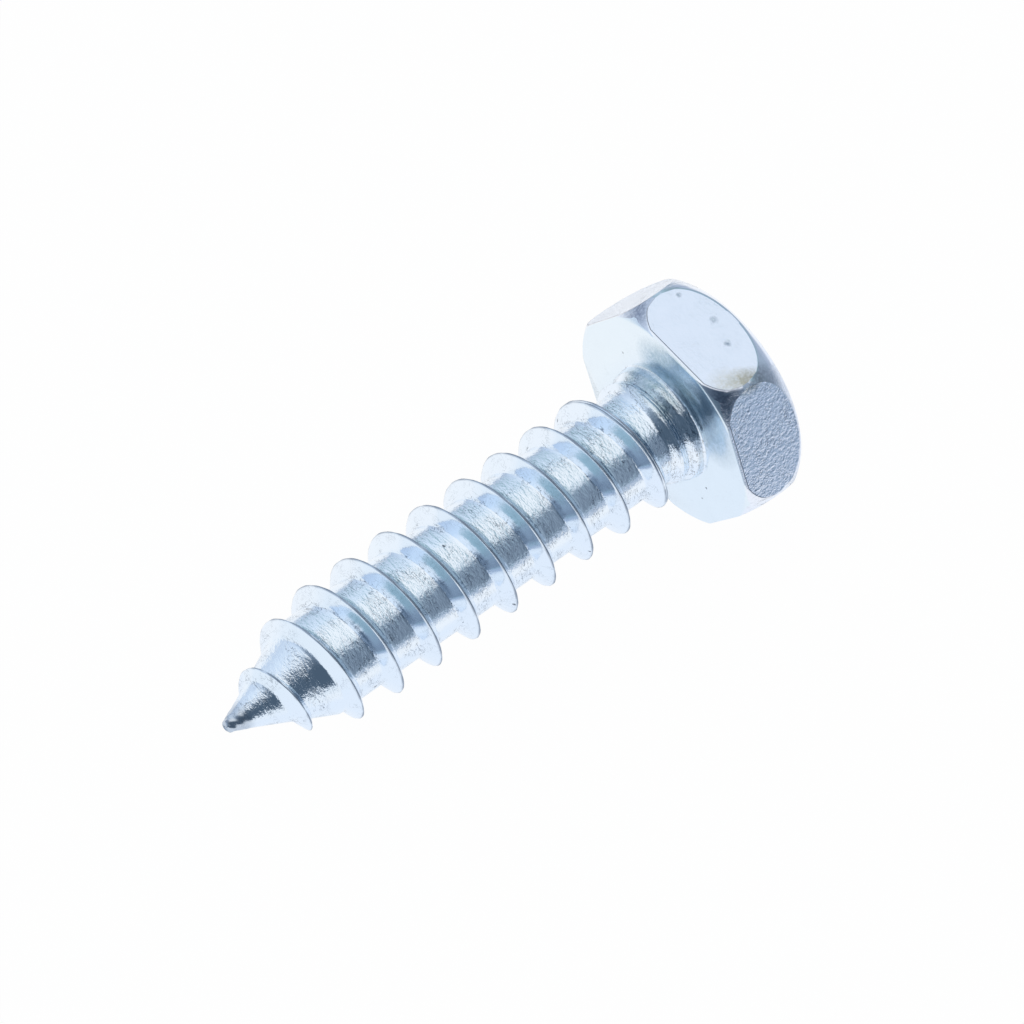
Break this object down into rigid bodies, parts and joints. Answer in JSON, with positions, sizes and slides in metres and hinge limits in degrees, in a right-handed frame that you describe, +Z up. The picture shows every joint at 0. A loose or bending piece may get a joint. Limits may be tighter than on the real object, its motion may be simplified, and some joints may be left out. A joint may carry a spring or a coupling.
{
  "type": "hex head sheet metal screw",
  "caption": "Bright zinc plated steel tapping screw with a plain hex head rounded at its corners, a coarse full-length thread and a sharp threaded point.",
  "frame": {"origin": "bottom centre of the lying screw's box, on the surface that it rests on", "axes": "+X from the point to the head, with the screw's axis rising 6.3 degrees towards the head; +Z up; the screw lies on one flat of its head and on one thread crest near the point"},
  "size_m": [0.0216, 0.0088, 0.0079],
  "materials": {
    "bright_zinc_plated_steel": "bright zinc plating with a slight blue tint over cold-headed and thread-rolled steel: glossy on the thread, orange peel on the head's flats"
  },
  "bodies": {
    "root": {"sheet_metal_screw": "bright_zinc_plated_steel"}
  },
  "joints": []
}
